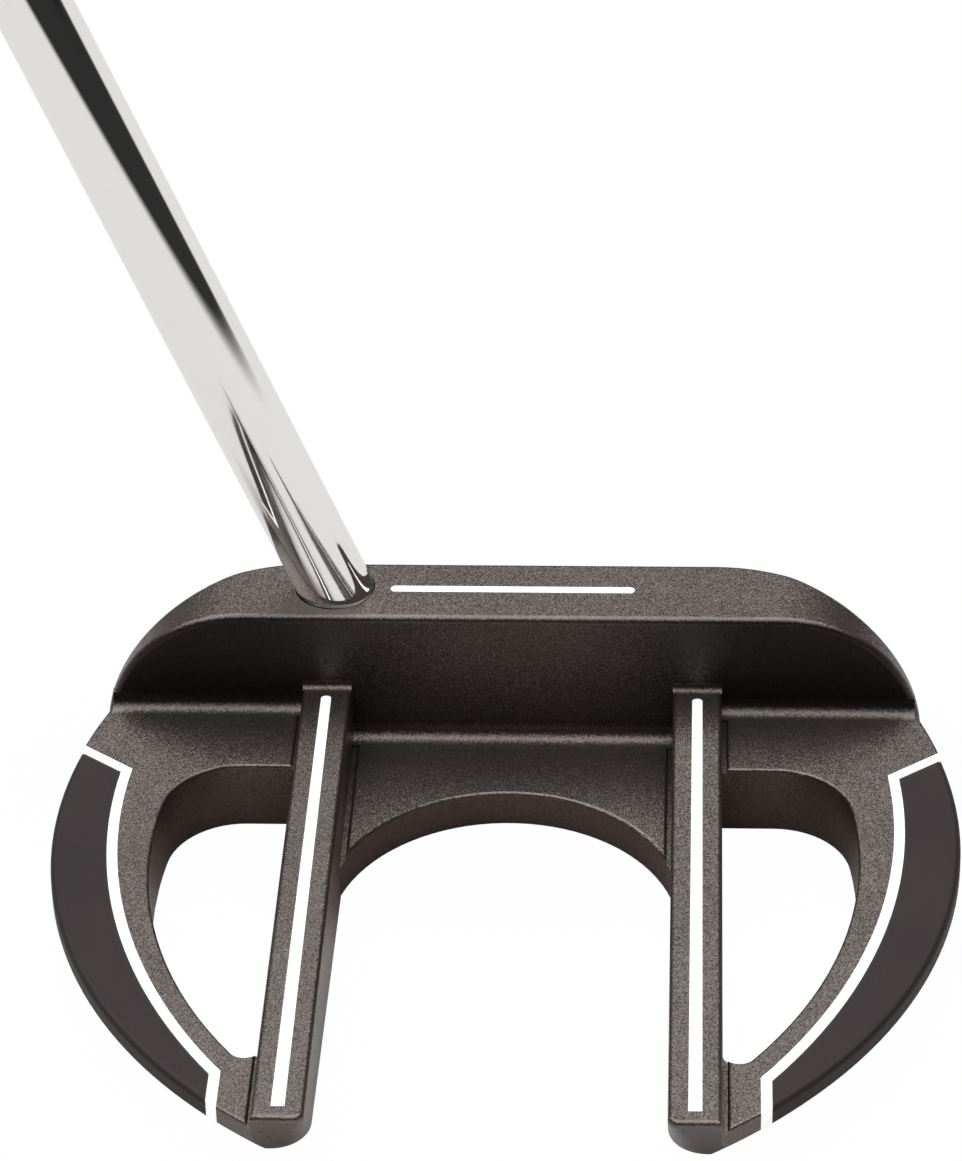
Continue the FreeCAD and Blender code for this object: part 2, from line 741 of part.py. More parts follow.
def drill_bore(body):
    """Drills the blind bore for the shaft and countersinks its mouth."""
    radius = d.tip_radius + d.bond_gap
    depth = d.shaft_depth + d.bore_end_gap
    drill(body, "shaft_bore", "Cylinder", shaft_place(-d.bore_end_gap.value),
          Radius=radius, Height=depth + CLEAR)
    mouth = Vector(d.shaft_x.value, d.mouth_y.value, d.bar_top.value - d.mouth_depth.value)
    drill(body, "bore_mouth", "Cone", Placement(mouth, Rotation()),
          Radius1=d.mouth_radius - d.mouth_depth, Radius2=d.mouth_radius + 1,
          Height=d.mouth_depth + 1)


def cut_face_grooves(body):
    """Cuts one groove, from a little before the lofted face, and repeats it up the face."""
    profile = new_sketch(body, "face_groove_plan", "XZ_Plane")
    profile.AttachmentOffset = Placement(Vector(), Rotation(Vector(1, 0, 0), d.loft.value))
    profile.setExpression("AttachmentOffset.Rotation.Angle", d.loft.formula)
    foot = d.bar_front + d.bar_top * trig("tan", d.loft)
    profile.setExpression("AttachmentOffset.Base.z", (-foot - FACE_CLEAR).formula)
    low = d.groove_low - 0.5 * d.groove_width
    rectangle(profile, -d.groove_half, d.groove_half, low, low + d.groove_width)
    depth = d.groove_depth + FACE_CLEAR * trig("cos", d.loft)
    groove = extrude(body, "Pocket", "face_groove", profile, depth, reverse=True)
    pattern = body.newObject("PartDesign::LinearPattern", "face_grooves")
    pattern.Originals = [groove]
    pattern.Direction = (profile, ["V_Axis"])
    pattern.setExpression("Length", d.groove_span.formula)
    pattern.setExpression("Occurrences", d.groove_count.formula)
    finish(body, pattern)


def build_head():
    body = new_body("head_body")
    add_bar(body)
    add_prongs(body)
    shape_underside(body)
    cut_rail_feet(body)
    soften_edges(body)
    add_coves(body)
    cut_sight_lines(body)
    cut_wing_recesses(body)
    drill_for_pins(body, SIDES)
    drill_bore(body)
    cut_face_grooves(body)
    return body


# ---- Pieces let into the head ---------------------------------------------------------------


def build_line(name, steps, level):
    """Pads the paint that fills a sight line's groove, a little below the surface round it."""
    body = new_body(name)
    plan = new_sketch(body, f"{name}_plan", "XY_Plane", level - d.line_depth)
    outline(plan, steps)
    extrude(body, "Pad", f"{name}_fill", plan, d.paint_depth)
    return body


def build_weight(side, label):
    """Pads the crescent outside the trim, as deep as the wing, and rounds its rim."""
    body = new_body(f"{label}_wing_weight")
    plan = new_sketch(body, f"{label}_weight_plan", "XY_Plane")
    front, front_corner, back_corner, back = trim_path(0.5 * d.trim_width, d.wing_radius)
    outline(plan, mirrored(side, [
        front,
        (*front_corner, d.trim_radius + 0.5 * d.trim_width, -1),
        back_corner,
        (*back, d.wing_radius, 1),
    ]))
    extrude(body, "Pad", f"{label}_weight_blank", plan, d.weight_top)
    shape_wing_piece(body, side)
    middle = Vector(across(side, d.wing_centre_x).value, d.wing_centre_y.value, d.weight_top.value)
    round_edges(body, f"{label}_weight_rim", d.weight_edge,
                lambda p: near(p.z, d.weight_top) and near((p - middle).Length, d.wing_radius))
    drill_for_pins(body, [(side, label)])
    return body


def build_trim(side, label):
    """Pads the strip between a wing and its weight, which shows as a line on the deck."""
    body = new_body(f"{label}_wing_trim")
    plan = new_sketch(body, f"{label}_trim_plan", "XY_Plane")
    half_width = 0.5 * d.trim_width
    inner, outer = (trim_path(inset, d.wing_radius) for inset in (-half_width, half_width))
    outline(plan, mirrored(side, [
        inner[0],
        (*inner[1], d.trim_radius - half_width, -1),
        inner[2],
        (*inner[3], d.wing_radius, 1),
        outer[3],
        (*outer[2], d.trim_radius + half_width, 1),
        outer[1],
        (*outer[0], d.wing_radius, 1),
    ]))
    extrude(body, "Pad", f"{label}_trim_blank", plan, d.deck_top)
    shape_wing_piece(body, side)
    drill_for_pins(body, [(side, label)])
    return body


def shape_wing_piece(body, side):
    """Gives a piece in a wing the head's rounded underside and rising sole."""
    undercut(body, side)
    cut_sole_ramp(body)


def build_pins():
    """Makes the four dowel pins that hold the weights, as one group of separate solids."""
    pins = []
    for side, label in SIDES:
        for end, angle in (("front", d.front_pin_angle), ("back", d.back_pin_angle)):
            pin = doc.addObject("Part::Cylinder", f"{label}_{end}_pin")
            pin.setExpression("Radius", d.pin_radius.formula)
            pin.setExpression("Height", d.pin_length.formula)
            pin.Placement = pin_place(side, angle)
            pins.append(pin)
    group = doc.addObject("Part::Compound", "weight_pins")
    group.Label = "weight_pins"
    group.Links = pins
    doc.recompute()
    return group


# ---- Shaft and grip -------------------------------------------------------------------------


def build_shaft():
    """Revolves the stepped tube, with the same wall all along."""
    body = new_body("shaft")
    profile = new_sketch(body, "shaft_profile", "XZ_Plane")
    count = int(d.step_count.value)
    rise = d.butt_radius - d.tip_radius
    outer = [(d.tip_radius, 0)]
    for number in range(count):
        height = d.step_start + number * d.step_pitch
        outer.append((d.tip_radius + number / count * rise, height))
        outer.append((d.tip_radius + (number + 1) / count * rise, height + d.step_taper))
    outer.append((d.butt_radius, d.shaft_length))
    inner = [(radius - d.tube_wall, height) for radius, height in reversed(outer)]
    outline(profile, outer + inner)
    turn_about(body, "Revolution", "shaft_tube", profile, "V_Axis")
    body.Placement = shaft_place(0)
    return body


def grip_section(radius):
    """Gives the grip's section: a circle with a thumb flat towards the toe side."""
    flat = d.grip_flat * radius
    half = square_root(radius * radius - flat * flat)
    return [(flat, -half), (flat, half, radius, 1), (-radius, 0, radius, 1)]


def build_grip():
    """Lofts the rubber grip through its mouth, palm and butt, and bores it for the taped shaft."""
    body = new_body("grip")
    sections = []
    for name, height, radius in (
        ("mouth", 0, d.grip_mouth_radius),
        ("palm", d.grip_palm, d.grip_palm_radius),
        ("butt", d.grip_length, d.grip_butt_radius),
    ):
        sketch = new_sketch(body, f"grip_{name}_section", "XY_Plane", height)
        outline(sketch, grip_section(radius))
        sections.append(sketch)
    loft = body.newObject("PartDesign::AdditiveLoft", "grip_loft")
    loft.Profile = sections[0]
    loft.Sections = sections[1:]
    finish(body, loft)
    drill(body, "grip_bore", "Cylinder", Placement(Vector(0, 0, -1), Rotation()),
          Radius=d.butt_radius + d.tape_film, Height=d.grip_length + 2)
    body.Placement = shaft_place(d.grip_start.value)
    return body


def build_cap():
    """Pads the butt cap on the grip's last section, rounds its rim and drills its vent."""
    body = new_body("grip_cap")
    plan = new_sketch(body, "cap_plan", "XY_Plane")
    outline(plan, grip_section(d.grip_butt_radius))
    extrude(body, "Pad", "cap_disc", plan, d.cap_height)
    round_edges(body, "cap_rim", d.cap_edge, lambda p: near(p.z, d.cap_height))
    drill(body, "cap_vent", "Cylinder", Placement(Vector(0, 0, -1), Rotation()),
          Radius=d.vent_radius, Height=d.cap_height + 2)
    body.Placement = shaft_place(d.grip_start.value + d.grip_length.value)
    return body


def build_all():
    """Builds every sub-part and returns them in a list."""
    pieces = [build_head()]
    pieces.append(build_line("front_sight_line", front_line(), d.bar_top))
    for side, label in SIDES:
        pieces.append(build_line(f"{label}_sight_line", mirrored(side, rail_line()), d.rail_top))
        pieces.append(build_weight(side, label))
        pieces.append(build_trim(side, label))
    pieces.append(build_pins())
    pieces.append(build_shaft())
    pieces.append(tube("shaft_bond", d.tip_radius + d.bond_gap, d.tip_radius,
                       d.shaft_depth - BOND_SHORT, shaft_place(0)))
    pieces.append(tube("grip_tape", d.butt_radius + d.tape_film, d.butt_radius,
                       d.shaft_length - d.grip_start - TAPE_SHORT,
                       shaft_place(d.grip_start.value + TAPE_SHORT)))
    pieces.append(build_grip())
    pieces.append(build_cap())
    return pieces


def write_steps(pieces):
    """Checks every object of the document and each piece's shape, then writes the STEP files."""
    for thing in doc.Objects:
        if {"Invalid", "Error"} & set(thing.State):
            raise RuntimeError(f"{thing.Name} is {thing.State}")
    for piece in pieces:
        if piece.Shape.isNull() or not piece.Shape.isValid() or not piece.Shape.Solids:
            raise RuntimeError(f"{piece.Label} has no valid solid")
        if any(len(solid.Shells) > 1 for solid in piece.Shape.Solids):
            raise RuntimeError(f"{piece.Label} has a closed hollow")
    os.makedirs("parts", exist_ok=True)
    for piece in pieces:
        piece.Shape.exportStep(f"parts/{piece.Label}.step")
        print(f"{piece.Label}: {len(piece.Shape.Solids)} solid(s), {piece.Shape.Volume:.1f} mm3")


write_steps(build_all())
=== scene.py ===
import json
import math
from typing import NamedTuple

import bmesh
import bpy
from mathutils import Matrix, Vector, noise


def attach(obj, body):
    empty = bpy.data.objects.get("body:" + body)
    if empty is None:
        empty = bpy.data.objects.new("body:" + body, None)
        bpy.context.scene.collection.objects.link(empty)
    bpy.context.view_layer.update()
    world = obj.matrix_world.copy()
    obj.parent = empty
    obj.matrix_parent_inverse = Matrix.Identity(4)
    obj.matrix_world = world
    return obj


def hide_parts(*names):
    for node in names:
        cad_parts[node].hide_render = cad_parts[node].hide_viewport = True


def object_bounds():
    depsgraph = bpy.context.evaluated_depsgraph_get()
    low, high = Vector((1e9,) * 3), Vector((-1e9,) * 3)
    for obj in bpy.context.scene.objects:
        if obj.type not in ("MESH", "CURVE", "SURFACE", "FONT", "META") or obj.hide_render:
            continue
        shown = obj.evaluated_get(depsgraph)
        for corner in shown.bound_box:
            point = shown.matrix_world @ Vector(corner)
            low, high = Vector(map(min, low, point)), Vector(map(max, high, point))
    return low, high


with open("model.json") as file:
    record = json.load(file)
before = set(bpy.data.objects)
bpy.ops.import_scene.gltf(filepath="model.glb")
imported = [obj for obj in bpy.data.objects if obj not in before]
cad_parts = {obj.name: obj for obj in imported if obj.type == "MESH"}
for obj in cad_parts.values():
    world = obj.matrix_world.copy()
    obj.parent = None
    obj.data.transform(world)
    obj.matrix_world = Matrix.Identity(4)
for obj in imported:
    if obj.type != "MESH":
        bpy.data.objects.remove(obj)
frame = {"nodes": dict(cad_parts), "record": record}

# The mallet putter's looks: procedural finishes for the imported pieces, a moulded rubber grip in
# place of the plain CAD one, a pale floor, a soft overhead light and the camera.
# Lengths are metres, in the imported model's own frame: +X to the toe, +Y to the target, +Z up.

CAD_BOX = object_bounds()

MM = 0.001
WHITE = (1.0, 1.0, 1.0)
BLACK = (0.0, 0.0, 0.0)

# Camera: where it stands, how it is turned, in degrees, its lens and sensor, in millimetres, and the
# nearest distance that it sees.
CAMERA_PLACE = (0.0228, -0.4737, 0.3529)
CAMERA_TURN = 3.243
CAMERA_DIP = 34.702
CAMERA_ROLL = -1.432
CAMERA_LENS = 139.83
CAMERA_SENSOR = 36.0
CAMERA_NEAREST = 10 * MM


# ---- Node helpers ---------------------------------------------------------------------------


# The middle part of a noise's range, where nearly all its values lie.
NOISE_CORE = (0.3, 0.7)


class Nodes:
    """A node tree, with short calls that add nodes and wire them."""

    def __init__(self, tree, output, place):
        self.tree = tree
        self.tree.nodes.clear()
        self.output = self.add(output)
        self.place = self.add("TexCoord").outputs[place]

    def add(self, kind, **settings):
        node = self.tree.nodes.new(f"ShaderNode{kind}")
        for name, value in settings.items():
            setattr(node, name, value)
        return node

    def wire(self, value, socket):
        """Feeds a socket with another node's output or with a plain value.

        A number fills every component of a vector or colour, and a colour gets a full alpha.
        """
        if isinstance(value, bpy.types.NodeSocket):
            self.tree.links.new(value, socket)
        elif hasattr(socket.default_value, "__len__") and not hasattr(value, "__len__"):
            socket.default_value = (value,) * 3 + (1.0,) * (len(socket.default_value) - 3)
        elif hasattr(value, "__len__") and len(socket.default_value) == 4:
            socket.default_value = (*value[:3], 1.0)
        else:
            socket.default_value = value

    def math(self, operation, *values):
        node = self.add("Math", operation=operation)
        for socket, value in zip(node.inputs, values):
            self.wire(value, socket)
        return node.outputs[0]

    def vector(self, operation, *values):
        node = self.add("VectorMath", operation=operation)
        for socket, value in zip(node.inputs, values):
            self.wire(value, socket)
        return node.outputs["Value"] if operation in {"DOT_PRODUCT", "LENGTH"} else node.outputs[0]

    def scaled(self, vector, factor):
        """Multiplies a vector by a number."""
        node = self.add("VectorMath", operation="SCALE")
        self.wire(vector, node.inputs[0])
        self.wire(factor, node.inputs["Scale"])
        return node.outputs[0]

    def parts(self, vector):
        """Gives a vector's three components."""
        node = self.add("SeparateXYZ")
        self.wire(vector, node.inputs[0])
        return tuple(node.outputs)

    def noise(self, size, detail=2.0, roughness=0.5, place=None):
        """Gives a noise value near 0.5 whose features are about size across."""
        node = self.add("TexNoise")
        self.wire(place or self.place, node.inputs["Vector"])
        node.inputs["Scale"].default_value = 1.0 / size
        node.inputs["Detail"].default_value = detail
        node.inputs["Roughness"].default_value = roughness
        return node.outputs["Fac"]

    def cells(self, size):
        """Gives a colour of its own to each cell, size across."""
        node = self.add("TexVoronoi")
        self.wire(self.place, node.inputs["Vector"])
        node.inputs["Scale"].default_value = 1.0 / size
        return node.outputs["Color"]

    def span(self, value, low, high, to_low=0.0, to_high=1.0, smooth=False):
        """Maps a value's range to another one and clamps it."""
        node = self.add("MapRange", interpolation_type="SMOOTHSTEP" if smooth else "LINEAR")
        for name, number in zip(
            ("Value", "From Min", "From Max", "To Min", "To Max"), (value, low, high, to_low, to_high)
        ):
            self.wire(number, node.inputs[name])
        return node.outputs["Result"]

    def spread(self, value, to_low=0.0, to_high=1.0):
        """Maps the middle part of a noise's range to another range."""
        return self.span(value, *NOISE_CORE, to_low, to_high)

    def between(self, value, rise, fall):
        """Gives 1 between two limits and fades to 0 over the spans rise and fall."""
        return self.math(
            "MULTIPLY", self.span(value, *rise, smooth=True), self.span(value, *fall, 1.0, 0.0, smooth=True)
        )

    def mix(self, factor, first, second):
        """Mixes two colours."""
        node = self.add("Mix", data_type="RGBA")
        self.wire(factor, node.inputs[0])
        self.wire(first, node.inputs[6])
        self.wire(second, node.inputs[7])
        return node.outputs[2]

    def bump(self, height, distance, strength=1.0, normal=None):
        node = self.add("Bump")
        self.wire(height, node.inputs["Height"])
        node.inputs["Distance"].default_value = distance
        node.inputs["Strength"].default_value = strength
        if normal is not None:
            self.wire(normal, node.inputs["Normal"])
        return node.outputs["Normal"]

    def shader(self, kind, **inputs):
        """Adds a shader; the inputs' names use _ for a space."""
        node = self.add(kind)
        for name, value in inputs.items():
            self.wire(value, node.inputs[name.replace("_", " ")])
        return node.outputs[0]

    def blend(self, share, first, second):
        """Mixes two shaders."""
        node = self.add("MixShader")
        for value, socket in zip((share, first, second), node.inputs):
            self.wire(value, socket)
        return node.outputs[0]

    def finish(self, shader):
        """Makes a shader the tree's result."""
        self.tree.links.new(shader, self.output.inputs["Surface"])


class Finish(Nodes):
    """A material's node tree."""

    def __init__(self, name):
        self.material = bpy.data.materials.new(name)
        self.material.use_nodes = True
        super().__init__(self.material.node_tree, "OutputMaterial", "Object")

    def surface(self, **inputs):
        """Finishes the material with a Principled shader."""
        self.finish(self.shader("BsdfPrincipled", **inputs))
        return self.material


# ---- Materials ------------------------------------------------------------------------------


# The head's finish: the colours of its metal, plain and on its paler edges, which are partly wear and
# partly a painted highlight, the sizes of its grain, clouds, flakes and flecks, how far the flakes lean,
# and the tones of the clouds and the flecks.
GUNMETAL = (0.166, 0.144, 0.133)
GUNMETAL_WORN_AND_LIT = (0.34, 0.315, 0.285)
GUNMETAL_METALLIC = 0.86
GUNMETAL_ROUGH = (0.29, 0.38)
GRAIN = 0.16 * MM
GRAIN_HEIGHT = 0.012 * MM
CLOUD = 9 * MM
CLOUD_TONES = (0.93, 1.07)
FLAKE = 0.11 * MM
FLAKE_LEAN = 0.30
FLECK = 1.3 * FLAKE
FLECK_TONES = (0.70, 1.30)
WEAR_AND_HIGHLIGHT_SHARE = 0.4


def head_material():
    """Fine-grained gunmetal finish with metal flake, a little paler on edges: partly wear, partly a painted
    highlight.
    """
    m = Finish("gunmetal_finish")
    tilt = m.scaled(m.vector("SUBTRACT", m.cells(FLAKE), (0.5, 0.5, 0.5)), FLAKE_LEAN)
    straight = m.add("NewGeometry").outputs["Normal"]
    flaked = m.vector("NORMALIZE", m.vector("ADD", straight, tilt))
    grain = m.noise(GRAIN, detail=3.0, roughness=0.65)
    tone = m.spread(m.noise(CLOUD, detail=3.0), *CLOUD_TONES)
    fleck = m.span(m.cells(FLECK), 0.0, 1.0, *FLECK_TONES)
    base = m.scaled(GUNMETAL, m.math("MULTIPLY", tone, fleck))
    # Paler edges: partly wear, partly a painted highlight for the light that the fillets catch.
    worn_and_lit = m.mix(m.math("MULTIPLY", edge_wear_and_highlight(m), WEAR_AND_HIGHLIGHT_SHARE), base, GUNMETAL_WORN_AND_LIT)
    return m.surface(
        Base_Color=m.mix(wall_shade(m), worn_and_lit, BLACK),
        Metallic=GUNMETAL_METALLIC,
        Roughness=m.spread(grain, *GUNMETAL_ROUGH),
        Normal=m.bump(grain, GRAIN_HEIGHT, 0.42, normal=flaked),
    )


# The shade on the bar's back wall, which is painted in, because the scene's own light leaves the
# wall too bright. The spans say how squarely the wall has to look back, where it ends along Y and
# how far from the middle the shade grows; the last pair is its strength in the middle and beyond.
WALL_FACING = (0.25, 0.95)
WALL_ALONG = (-9.2 * MM, -7.6 * MM)
WALL_ACROSS = (8 * MM, 34 * MM)
WALL_STRENGTH = (0.38, 0.74)


def wall_shade(m):
    """Gives how strongly the bar's back wall is shaded: least in its middle, none off the wall."""
    facing = m.vector("DOT_PRODUCT", m.add("NewGeometry").outputs["Normal"], (0.0, -1.0, 0.0))
    across, along, _ = m.parts(m.place)
    wall = m.math(
        "MULTIPLY", m.span(facing, *WALL_FACING, smooth=True), m.span(along, *WALL_ALONG, smooth=True)
    )
    strength = m.span(m.math("ABSOLUTE", across), *WALL_ACROSS, *WALL_STRENGTH, smooth=True)
    return m.math("MULTIPLY", wall, strength)


# Paler edges, partly wear and partly a painted highlight: how near a bend has to be, how far the two
# normals have to part, and the noise that breaks them up.
WEAR_AND_HIGHLIGHT_REACH = 0.35 * MM
WEAR_AND_HIGHLIGHT_BEND = (0.985, 0.9)
WEAR_AND_HIGHLIGHT_PATCH = 1.2 * MM
WEAR_AND_HIGHLIGHT_PATCHY = (0.42, 0.62, 0.15, 1.0)


def edge_wear_and_highlight(m):
    """Gives 1 where the surface bends within a short distance, broken up by noise: the paler edges' mask.
    """
    bevel = m.add("Bevel", samples=6)
    bevel.inputs["Radius"].default_value = WEAR_AND_HIGHLIGHT_REACH
    geometry = m.add("NewGeometry")
    agree = m.vector("DOT_PRODUCT", bevel.outputs["Normal"], geometry.outputs["True Normal"])
    patchy = m.span(m.noise(WEAR_AND_HIGHLIGHT_PATCH, detail=4.0, roughness=0.7), *WEAR_AND_HIGHLIGHT_PATCHY)
    return m.math("MULTIPLY", m.span(agree, *WEAR_AND_HIGHLIGHT_BEND), patchy)


# The weights' coating: its colours, plain and worn through, and the tint of what it reflects.
COATING = ((0.021, 0.0175, 0.018), (0.027, 0.022, 0.022))
COATING_WORN = (0.16, 0.145, 0.135)
COATING_TINT = (1.0, 0.86, 0.9)
COATING_GRAIN = 0.22 * MM
COATING_CLOUD = 14 * MM


def weight_material():
    """Matt near-black coating of the wing weights."""
    m = Finish("black_coating")
    grain = m.noise(COATING_GRAIN, detail=3.0, roughness=0.6)
    base = m.mix(m.spread(m.noise(COATING_CLOUD, detail=2.0)), *COATING)
    return m.surface(
        Base_Color=m.mix(m.math("MULTIPLY", edge_wear_and_highlight(m), 0.5), base, COATING_WORN),
        Metallic=0.15,
        Roughness=m.spread(grain, 0.5, 0.62),
        Specular_Tint=COATING_TINT,
        Normal=m.bump(grain, 0.01 * MM, 0.5),
    )


# White enamel on the trims and white paint in the sight lines: how matt each is, their colour clean
# and dirty, the dirty spots and the dirt in them, and a painted glow that keeps the thin lines white, their
# shaded sides too.
ENAMEL_ROUGH = 0.32
PAINT_ROUGH = 0.4
WHITE_PAINT = (0.72, 0.72, 0.71)
DIRTY_PAINT = (0.52, 0.50, 0.47)
DIRT_SPOT = 5 * MM
DIRT = (0.56, 0.78, 0.0, 0.10)
PAINTED_LIGHT_GLOW = 0.6


def white_material(name, rough):
    """White paint or enamel: bright, faintly uneven, with a little dirt in patches and a painted glow."""
    m = Finish(name)
    grain = m.noise(0.5 * MM, detail=3.0)
    dirt = m.span(m.noise(DIRT_SPOT, detail=5.0, roughness=0.65), *DIRT)
    return m.surface(
        Base_Color=m.mix(dirt, WHITE_PAINT, DIRTY_PAINT),
        Roughness=m.spread(grain, rough, rough + 0.1),
        Normal=m.bump(grain, 0.012 * MM, 0.35),
        # Painted light: a glow that keeps the lines white where the light leaves them shaded.
        Emission_Color=WHITE,
        Emission_Strength=PAINTED_LIGHT_GLOW,
    )


# The ground steel of the pins: its colour and the range that its roughness moves in.
STEEL = (0.55, 0.54, 0.52)
STEEL_ROUGH = (0.25, 0.4)


def pin_material():
    """Ground steel with fine scratches."""
    m = Finish("ground_steel")
    grain = m.noise(0.2 * MM, detail=4.0, roughness=0.7)
    return m.surface(
        Base_Color=STEEL,
        Metallic=1.0,
        Roughness=m.spread(grain, *STEEL_ROUGH),
        Normal=m.bump(grain, 0.004 * MM, 0.4),
    )


# The chrome's own tone, its soft haze and fine scratches, and how rough each of them leaves it.
CHROME = 0.95
HAZE = 6 * MM
HAZE_ROUGH = (0.035, 0.09)
SCRATCH = 0.4 * MM
SCRATCH_ROUGH = (0.5, 0.8, 0.0, 0.03)

# A painted reflection of a dark card, which isn't in the scene but worked out in the finish: its tone, how
# far the card stands, the heights between which its foot fades in, and the bearings from +X, in
# radians, between which each of its sides fades.
CARD_TONE = 0.035
CARD_DISTANCE = 0.237
CARD_FOOT = (0.024, 0.047)
CARD_SIDE = (0.22, 0.38)
CARD_FAR_SIDE = (-1.6, -1.2)

# A painted reflection of the room above the chrome's horizon, a glow in the finish as made up as the
# card: the climb over which it takes over, its tones from low to high, how far up they go, how much
# the haze moves them, and a narrower dark painted band in the card's place.
HORIZON = (-0.02, 0.10)
ROOM_TONES = (0.46, 0.86)
ROOM_CLIMB = (0.0, 1.1)
ROOM_HAZE = 0.25
BAND_TONE = 0.05
BAND_SIDE = (0.10, 0.34)
BAND_FAR_SIDE = (-0.62, -0.30)

# The least sideways part of a reflected ray, which keeps the card's height finite straight up.
LEAST_LEVEL = 0.01


def chrome_material():
    """Bright chrome with painted reflections: a dark streak for a card beyond the toe, a glowing room
    above.
    """
    m = Finish("chrome_plate")
    haze = m.noise(HAZE, detail=4.0, roughness=0.6)
    scratch = m.noise(SCRATCH, detail=5.0, roughness=0.75)
    east, north, up = m.parts(m.add("TexCoord").outputs["Reflection"])
    bearing = m.math("ARCTAN2", north, east)
    flat = m.math("ADD", m.math("MULTIPLY", east, east), m.math("MULTIPLY", north, north))
    level = m.math("MAXIMUM", m.math("SQRT", flat), LEAST_LEVEL)
    climb = m.math("MULTIPLY", m.math("DIVIDE", up, level), CARD_DISTANCE)
    # Painted reflection: the finish darkens where a reflected ray would meet the card.
    above = m.span(m.math("ADD", climb, m.parts(m.place)[2]), *CARD_FOOT, smooth=True)
    painted_card = m.math("MULTIPLY", above, m.between(bearing, CARD_FAR_SIDE, CARD_SIDE))
    plate = m.shader(
        "BsdfPrincipled",
        Base_Color=m.mix(painted_card, CHROME, CARD_TONE),
        Metallic=1.0,
        Roughness=m.math("ADD", m.spread(haze, *HAZE_ROUGH), m.span(scratch, *SCRATCH_ROUGH)),
        Normal=m.bump(scratch, 0.002 * MM, 0.15),
    )
    # Painted reflection: above its horizon the chrome glows with a made-up room instead of reflecting.
    tone = m.span(m.math("ADD", up, m.math("MULTIPLY", haze, ROOM_HAZE)), *ROOM_CLIMB, *ROOM_TONES)
    painted_band = m.between(bearing, BAND_FAR_SIDE, BAND_SIDE)
    room = m.shader("Emission", Color=m.mix(painted_band, tone, BAND_TONE))
    m.finish(m.blend(m.span(up, *HORIZON, smooth=True), plate, room))
    return m.material


# The colours of the epoxy and of the tape, each a pair that noise mixes.
EPOXY = ((0.05, 0.045, 0.035), (0.08, 0.07, 0.05))
TAPE = ((0.62, 0.52, 0.33), (0.74, 0.65, 0.45))
CREPE_CORE = (0.35, 0.65)


def bond_material():
    """Dark epoxy."""
    m = Finish("epoxy")
    grain = m.noise(0.6 * MM, detail=3.0)
    colour = m.mix(m.spread(grain), *EPOXY)
    return m.surface(Base_Color=colour, Roughness=0.35, Normal=m.bump(grain, 0.03 * MM, 0.4))


def tape_material():
    """Buff masking tape with a crepe texture."""
    m = Finish("crepe_tape")
    crepe = m.noise(0.5 * MM, detail=5.0, roughness=0.7)
    colour = m.mix(m.span(crepe, *CREPE_CORE), *TAPE)
    return m.surface(Base_Color=colour, Roughness=0.8, Normal=m.bump(crepe, 0.06 * MM, 0.6))


# Rubber: how dark the grip's and the cap's are, the sizes of the grain, the pores and the dusty
# patches, how strongly the dust shows, how much paler it is, and the warmth of both blacks.
GRIP_TONE = 0.02
CAP_TONE = 0.024
RUBBER_GRAIN = 0.35 * MM
RUBBER_PORE = 1.6 * MM
DUST_PATCH = 22 * MM
DUST_CORE = (0.38, 0.66)
DUST_SHARE = 0.6
DUST_GAIN = 1.9
RUBBER_WARMTH = (1.0, 0.98, 0.96)
DUST_WARMTH = (1.0, 0.98, 0.95)


def rubber_material(name, tone):
    """Soft black rubber with a moulded grain and patches of dust."""
    m = Finish(name)
    grain = m.noise(RUBBER_GRAIN, detail=4.0, roughness=0.65)
    pores = m.noise(RUBBER_PORE, detail=3.0)
    dust = m.span(m.noise(DUST_PATCH, detail=4.0, roughness=0.6), *DUST_CORE)
    clean = tuple(tone * part for part in RUBBER_WARMTH)
    dusty = tuple(DUST_GAIN * tone * part for part in DUST_WARMTH)
    height = m.math("ADD", m.math("MULTIPLY", pores, 0.5), grain)
    return m.surface(
        Base_Color=m.mix(m.math("MULTIPLY", dust, DUST_SHARE), clean, dusty),
        Roughness=m.span(dust, 0.0, 1.0, 0.52, 0.72),
        Sheen_Weight=0.12,
        Normal=m.bump(height, 0.05 * MM, 0.6),
    )


def cover(node, material):
    """Gives a CAD node a material in every slot."""
    slots = frame["nodes"][node].data.materials
    if not slots:
        slots.append(material)
    for number in range(len(slots)):
        slots[number] = material


# ---- Grip -----------------------------------------------------------------------------------


class Cut(NamedTuple):
    """A moulded groove's half width and its depth."""

    half: float
    depth: float


# The skin's mesh: points around it, the spacing of its rings and the rings along the bore.
GRIP_AROUND = 180
GRIP_STATION = 0.75 * MM
BORE_RINGS = 40

# The grip's radii at its mouth, its palm swell and its butt, where the palm swell is, and the bore.
GRIP_MOUTH = 9.6 * MM
GRIP_PALM = 13.4 * MM
GRIP_BUTT = 14.6 * MM
GRIP_PALM_AT = 150 * MM
GRIP_BORE = 7.67 * MM

# The thumb flat: its distance from the axis as a share of the radius, the power that rounds it into
# the round part, and the cosine below which the flat is out of reach.
GRIP_FLAT = 0.74
FLAT_POWER = 22
FLAT_REACH = 0.05

